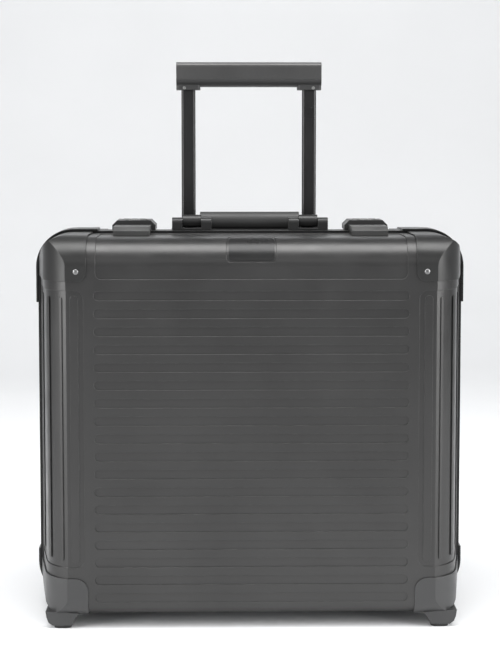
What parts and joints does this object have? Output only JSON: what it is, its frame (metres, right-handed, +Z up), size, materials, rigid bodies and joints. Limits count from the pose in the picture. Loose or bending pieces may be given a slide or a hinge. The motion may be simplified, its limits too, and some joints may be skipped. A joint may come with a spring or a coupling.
{
  "type": "rolling flight case",
  "caption": "Two-wheeled aluminium clamshell flight case with combination latches, folding carry handle and telescopic trolley handle.",
  "frame": {"origin": "on the floor, under the middle of the case, in the parting plane of its two halves", "axes": "+Z up, -Y to the lid side that the picture shows, +X to the right as seen from there"},
  "size_m": [0.444, 0.2087, 0.5734],
  "materials": {
    "shell": "dark anodised sheet, fine satin grain",
    "frame": "dark anodised extrusion, satin",
    "guard": "dark anodised pressing, satin",
    "cap": "dark anodised pressing, semi-gloss",
    "foot_cap": "dark moulded nylon, fine grain",
    "black_plastic": "black moulded nylon, fine grain",
    "lock": "dark satin die casting",
    "striker": "mid-grey satin die casting",
    "dial": "satin metal with dark numbers",
    "steel": "bright turned steel",
    "rivet": "dark satin rivet head",
    "tube": "dark anodised drawn tube, satin",
    "grip": "grey satin grip shell",
    "handle": "dark satin casting",
    "soft_grip": "smooth matt elastomer",
    "badge": "dark bare plate, finely brushed",
    "rubber": "matt black rubber",
    "tyre": "matt black polyurethane tyre",
    "lining": "dark grey woven polyester",
    "padding": "charcoal padded nylon"
  },
  "bodies": {
    "base": {"back_shell": "shell", "back_frame": "frame", "back_frame_guards": "guard", "back_top_caps": "cap", "wheel_housings": "black_plastic", "wheel_axles": "steel", "lock_bodies": "lock", "lock_dial_shafts": "steel", "handle_brackets": "handle", "handle_pins": "steel", "trolley_outer_tubes": "tube", "trolley_bezel": "black_plastic", "trolley_foot_bracket": "black_plastic", "hinge_back_leaves": "frame", "hinge_pins": "steel", "base_lining": "lining", "laptop_sleeve": "padding", "sleeve_strap": "lining"},
    "lid": {"front_shell": "shell", "front_frame": "frame", "front_frame_guards": "guard", "front_top_caps": "cap", "front_foot_caps": "foot_cap", "foot_pads": "rubber", "cap_rivets": "rivet", "badge_plate": "badge", "strikers": "striker", "hinge_front_leaves": "frame", "frame_seal": "rubber", "lid_lining": "lining", "organiser_panel": "padding", "organiser_pockets": "lining"},
    "carry_handle": {"carry_handle_arms": "handle", "carry_handle_grip": "soft_grip"},
    "trolley_middle": {"trolley_middle_tubes": "tube"},
    "trolley_top": {"trolley_upper_tubes": "tube", "trolley_grip": "grip", "trolley_grip_base": "black_plastic", "grip_screws": "steel"},
    "trolley_button": {"trolley_button": "black_plastic"},
    "wheel_left": {"wheel_tyre_left": "tyre", "wheel_hub_left": "black_plastic", "wheel_bearings_left": "steel"},
    "wheel_right": {"wheel_tyre_right": "tyre", "wheel_hub_right": "black_plastic", "wheel_bearings_right": "steel"},
    "lock_slider_left": {"lock_slider_left": "steel"},
    "lock_slider_right": {"lock_slider_right": "steel"},
    "dial_left_a": {"dial_left_a": "dial"},
    "dial_left_b": {"dial_left_b": "dial"},
    "dial_left_c": {"dial_left_c": "dial"},
    "dial_right_a": {"dial_right_a": "dial"},
    "dial_right_b": {"dial_right_b": "dial"},
    "dial_right_c": {"dial_right_c": "dial"}
  },
  "joints": [
    {"name": "lid_hinge", "type": "hinge", "parent": "base", "child": "lid", "pos_m": [0, 0, 0.0076], "axis": [1, 0, 0], "range_deg": [0, 95]},
    {"name": "carry_handle_swing", "type": "hinge", "parent": "base", "child": "carry_handle", "pos_m": [0, 0.01, 0.404], "axis": [1, 0, 0], "range_deg": [0, 105]},
    {"name": "trolley_middle_slide", "type": "slide", "parent": "base", "child": "trolley_middle", "axis": [0, 0, 1], "range_m": [0, 0.29]},
    {"name": "trolley_top_slide", "type": "slide", "parent": "trolley_middle", "child": "trolley_top", "axis": [0, 0, 1], "range_m": [-0.15, 0.15]},
    {"name": "trolley_button_press", "type": "slide", "parent": "trolley_top", "child": "trolley_button", "axis": [0, 0, -1], "range_m": [0, 0.0025], "stiffness_N_per_m": 400, "springref_m": -0.002},
    {"name": "wheel_left_spin", "type": "hinge", "parent": "base", "child": "wheel_left", "pos_m": [-0.184, 0.079, 0.025], "axis": [1, 0, 0], "continuous": true},
    {"name": "wheel_right_spin", "type": "hinge", "parent": "base", "child": "wheel_right", "pos_m": [0.184, 0.079, 0.025], "axis": [1, 0, 0], "continuous": true},
    {"name": "lock_slider_left_press", "type": "slide", "parent": "base", "child": "lock_slider_left", "axis": [1, 0, 0], "range_m": [0, 0.006], "stiffness_N_per_m": 150, "springref_m": -0.004},
    {"name": "lock_slider_right_press", "type": "slide", "parent": "base", "child": "lock_slider_right", "axis": [1, 0, 0], "range_m": [0, 0.006], "stiffness_N_per_m": 150, "springref_m": -0.004},
    {"name": "dial_left_a_turn", "type": "hinge", "parent": "base", "child": "dial_left_a", "pos_m": [-0.1295, 0.024, 0.3997], "axis": [1, 0, 0], "continuous": true},
    {"name": "dial_left_b_turn", "type": "hinge", "parent": "base", "child": "dial_left_b", "pos_m": [-0.1215, 0.024, 0.3997], "axis": [1, 0, 0], "continuous": true},
    {"name": "dial_left_c_turn", "type": "hinge", "parent": "base", "child": "dial_left_c", "pos_m": [-0.1135, 0.024, 0.3997], "axis": [1, 0, 0], "continuous": true},
    {"name": "dial_right_a_turn", "type": "hinge", "parent": "base", "child": "dial_right_a", "pos_m": [0.1135, 0.024, 0.3997], "axis": [1, 0, 0], "continuous": true},
    {"name": "dial_right_b_turn", "type": "hinge", "parent": "base", "child": "dial_right_b", "pos_m": [0.1215, 0.024, 0.3997], "axis": [1, 0, 0], "continuous": true},
    {"name": "dial_right_c_turn", "type": "hinge", "parent": "base", "child": "dial_right_c", "pos_m": [0.1295, 0.024, 0.3997], "axis": [1, 0, 0], "continuous": true}
  ]
}
